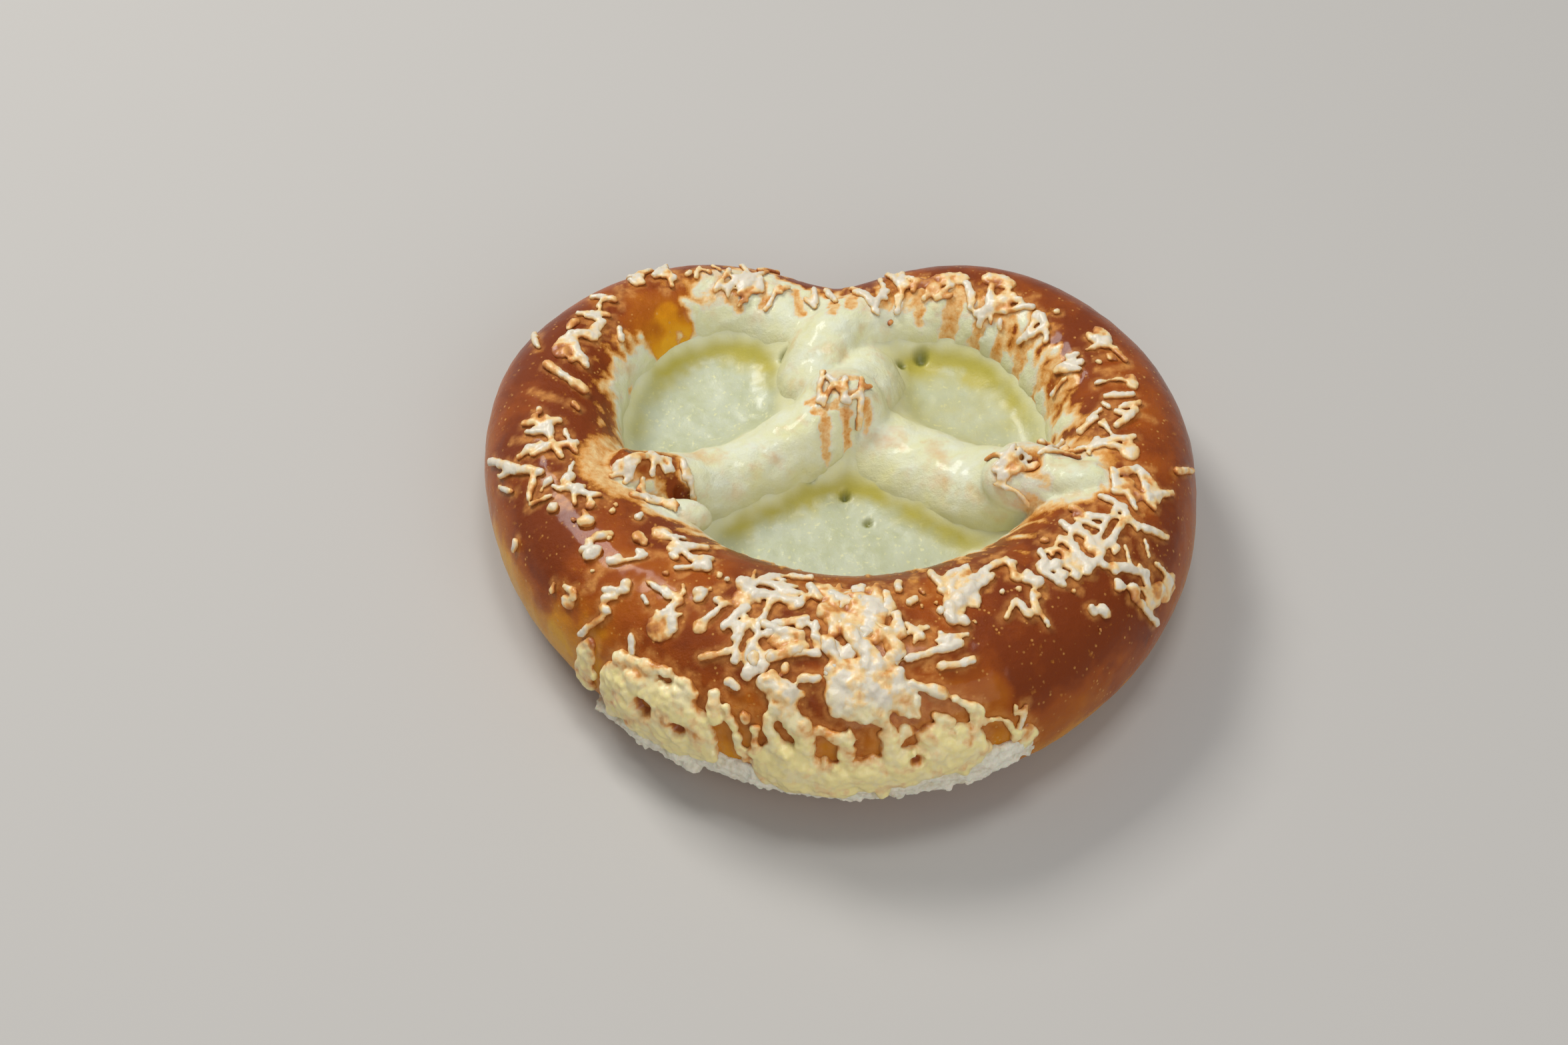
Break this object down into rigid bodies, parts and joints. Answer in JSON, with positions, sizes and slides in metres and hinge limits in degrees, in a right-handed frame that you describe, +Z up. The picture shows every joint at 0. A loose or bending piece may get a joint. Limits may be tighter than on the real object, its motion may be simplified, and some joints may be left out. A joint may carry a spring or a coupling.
{
  "type": "cheese pretzel",
  "caption": "Soft bakery pretzel with a fat belly and two thin crossed arms, a glossy brown crust, loops filled with melted cheese and grated cheese baked on top",
  "frame": {"origin": "on the surface the pretzel lies on, under the middle of its bounding box", "axes": "+X to the right across the two shoulders, +Y from the fat belly to the shoulders, +Z up"},
  "size_m": [0.152, 0.142, 0.0387],
  "materials": {
    "crust": "glossy baked lye crust, reddish brown on top and ochre low on the sides",
    "cheese": "melted cheese, pale green-yellow, softly glossy"
  },
  "bodies": {
    "root": {"pretzel": "crust", "cheese_pool_left": "cheese", "cheese_pool_right": "cheese", "cheese_pool_front": "cheese"}
  },
  "joints": []
}
